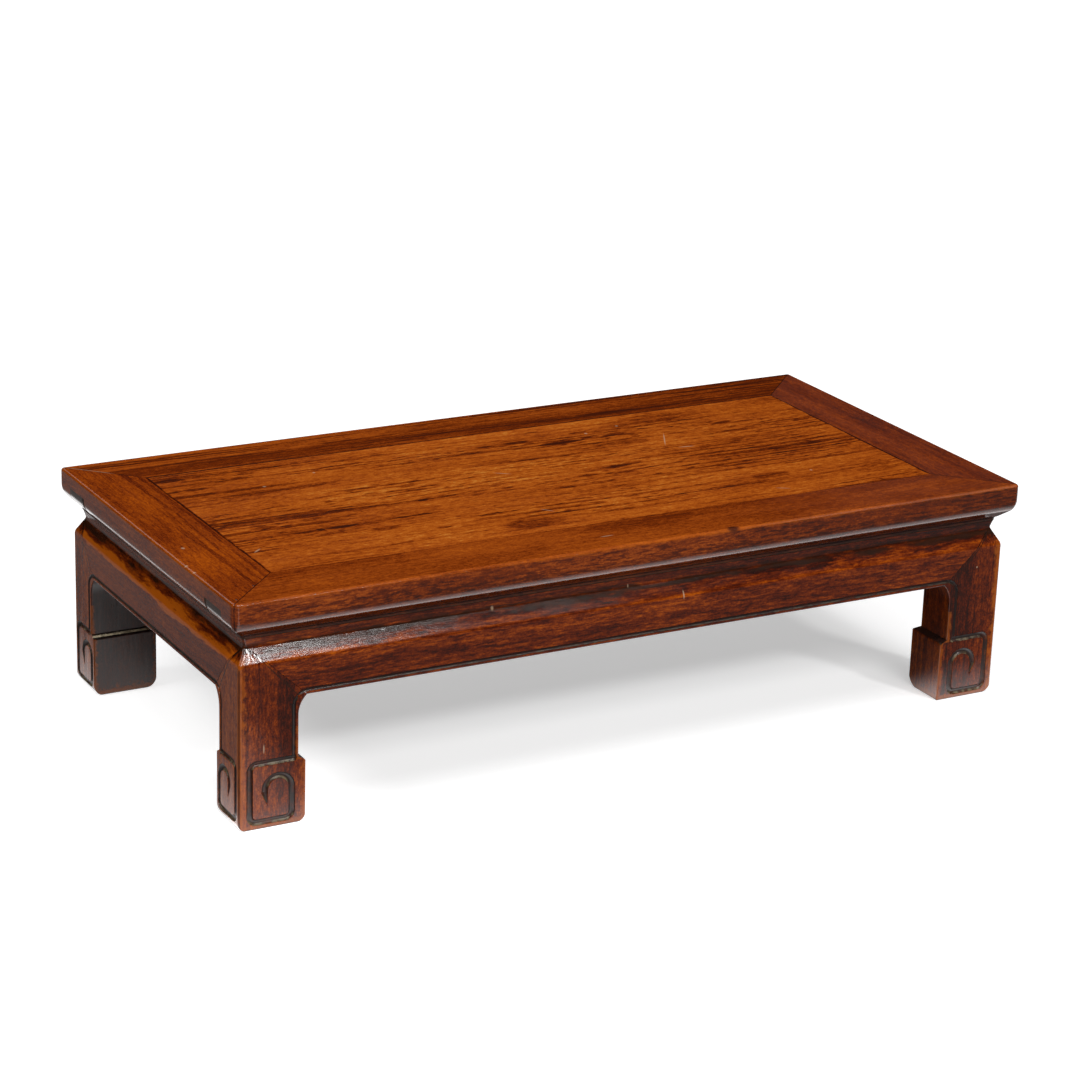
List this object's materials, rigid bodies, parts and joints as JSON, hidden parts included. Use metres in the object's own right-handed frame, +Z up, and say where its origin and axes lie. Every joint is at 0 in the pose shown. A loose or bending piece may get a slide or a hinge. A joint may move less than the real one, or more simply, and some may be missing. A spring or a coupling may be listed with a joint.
{
  "type": "kang table",
  "caption": "Low waisted table with a mitred frame-and-panel top, beaded aprons and square legs on scroll-carved block feet.",
  "frame": {"origin": "centre of the footprint, on the floor", "axes": "+X along the table's length, +Y to its back, +Z up"},
  "size_m": [0.9, 0.45, 0.236],
  "materials": {
    "panel_wood": "satin lacquer, orange-brown, grain along the table",
    "frame_wood": "satin lacquer, red-brown, worn arrises",
    "apron_wood": "satin lacquer, dark red-brown, grain along the board",
    "leg_wood": "satin lacquer, dark red-brown, upright grain",
    "batten_wood": "bare, dark with age",
    "peg_wood": "bare"
  },
  "bodies": {
    "root": {"top_panel": "panel_wood", "top_rail_front": "frame_wood", "top_rail_back": "frame_wood", "top_rail_left": "frame_wood", "top_rail_right": "frame_wood", "frame_pegs": "peg_wood", "apron_front": "apron_wood", "apron_back": "apron_wood", "apron_left": "apron_wood", "apron_right": "apron_wood", "leg_front_left": "leg_wood", "leg_front_right": "leg_wood", "leg_back_left": "leg_wood", "leg_back_right": "leg_wood", "batten_left": "batten_wood", "batten_middle": "batten_wood", "batten_right": "batten_wood"}
  },
  "joints": []
}
